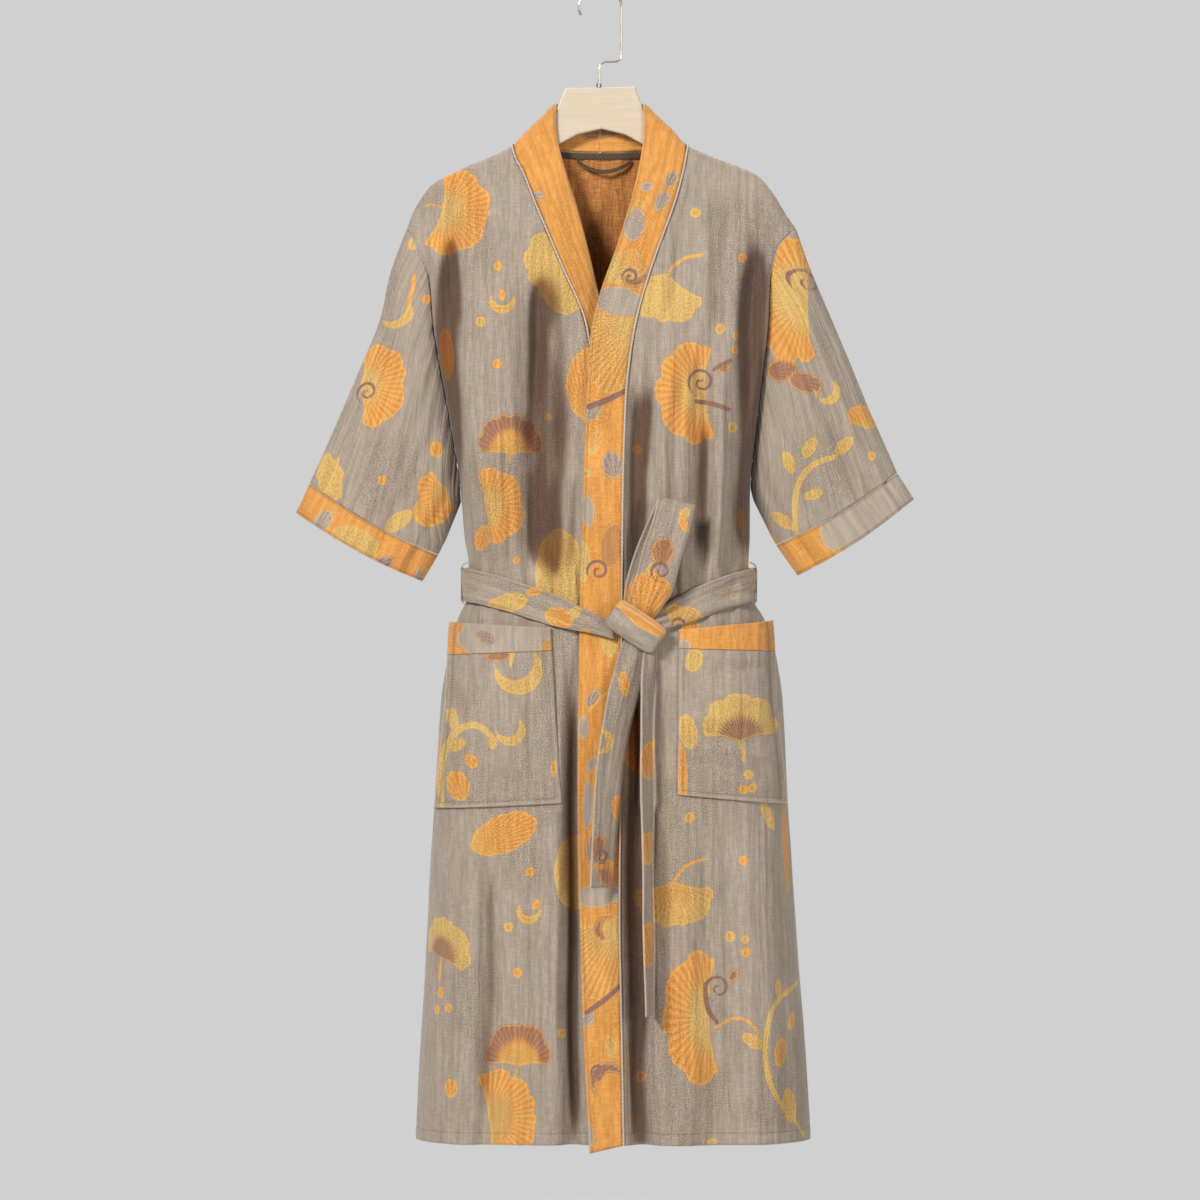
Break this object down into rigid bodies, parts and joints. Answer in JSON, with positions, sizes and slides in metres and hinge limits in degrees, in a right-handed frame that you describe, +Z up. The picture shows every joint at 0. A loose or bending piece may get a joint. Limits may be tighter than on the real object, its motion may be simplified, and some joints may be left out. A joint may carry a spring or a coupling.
{
  "type": "kimono robe on hanger",
  "caption": "Knee-length kimono robe with a long neck band, wide cuffed sleeves, patch pockets and a tied belt, hanging on a flat hanger with a wire hook.",
  "frame": {"origin": "inner top of the hanger's hook, where it rests on a rail", "axes": "+Z up, front of the robe faces -Y, +X to the wearer's left"},
  "size_m": [0.7205, 0.2469, 1.3537],
  "materials": {
    "printed_cloth": "matte",
    "orange_cloth": "matte",
    "grey_trim": "matte",
    "dark_tape": "matte",
    "cream_board": "satin lacquer",
    "steel_wire": "satin"
  },
  "bodies": {
    "root": {"back_panel": "printed_cloth", "front_left": "printed_cloth", "front_right": "printed_cloth", "sleeve_left": "printed_cloth", "sleeve_right": "printed_cloth", "pocket_left": "printed_cloth", "pocket_right": "printed_cloth", "belt_wrap": "printed_cloth", "belt_knot": "printed_cloth", "belt_bow_loop": "printed_cloth", "belt_tail_front": "printed_cloth", "belt_tail_edge": "printed_cloth", "cuff_left": "orange_cloth", "cuff_right": "orange_cloth", "pocket_band_left": "orange_cloth", "pocket_band_right": "orange_cloth", "neck_band_under": "orange_cloth", "neck_band_over": "orange_cloth", "piping_under": "grey_trim", "piping_over": "grey_trim", "belt_loop_left": "grey_trim", "belt_loop_right": "grey_trim", "neck_tape": "dark_tape", "hanging_loop": "dark_tape", "hanger_board": "cream_board", "hanger_hook": "steel_wire", "hook_ferrule": "steel_wire"}
  },
  "joints": []
}
